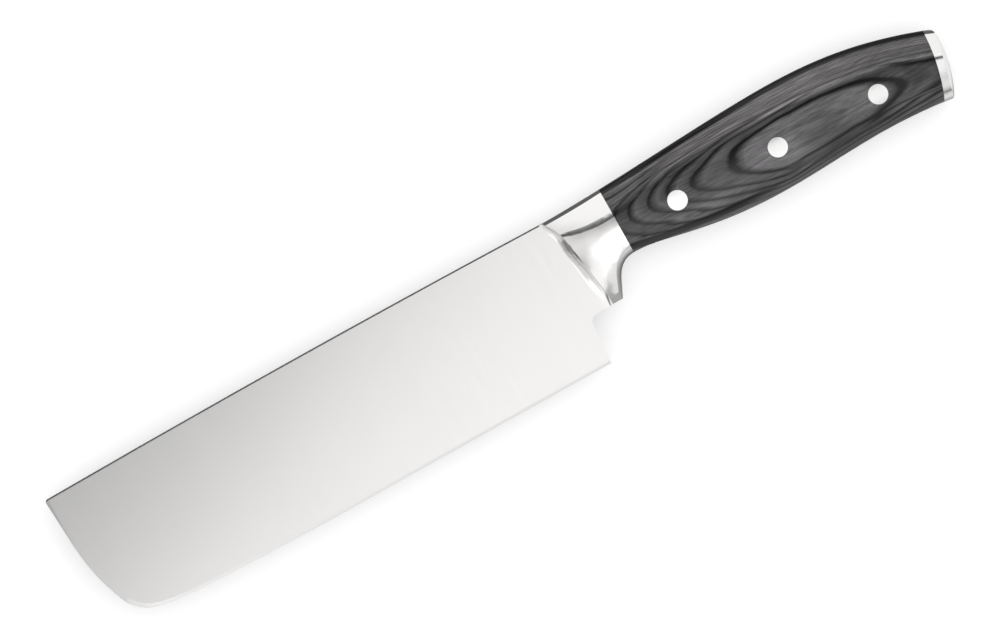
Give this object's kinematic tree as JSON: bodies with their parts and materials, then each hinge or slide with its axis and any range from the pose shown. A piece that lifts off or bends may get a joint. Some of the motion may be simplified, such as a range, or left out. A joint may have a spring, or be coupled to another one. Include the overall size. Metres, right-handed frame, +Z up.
{
  "type": "nakiri knife",
  "caption": "Nakiri vegetable knife with a straight-edged square-nosed blade, forged bolster, full tang, riveted dark laminated-wood scales and a steel end cap.",
  "frame": {"origin": "centre of the box under the knife, on the surface that it lies on", "axes": "+X from the tip to the butt, +Y from the cutting edge to the spine, +Z up through the broad side"},
  "size_m": [0.318, 0.0528, 0.0211],
  "materials": {
    "blade_steel": "satin blade, polished bolster",
    "cap_steel": "polished",
    "rivet_steel": "polished",
    "laminated_wood": "satin, dark grey layered"
  },
  "bodies": {
    "root": {"blade": "blade_steel", "scale_front": "laminated_wood", "scale_back": "laminated_wood", "end_cap": "cap_steel", "rivet_sleeve_1": "rivet_steel", "rivet_stud_1": "rivet_steel", "rivet_sleeve_2": "rivet_steel", "rivet_stud_2": "rivet_steel", "rivet_sleeve_3": "rivet_steel", "rivet_stud_3": "rivet_steel"}
  },
  "joints": []
}
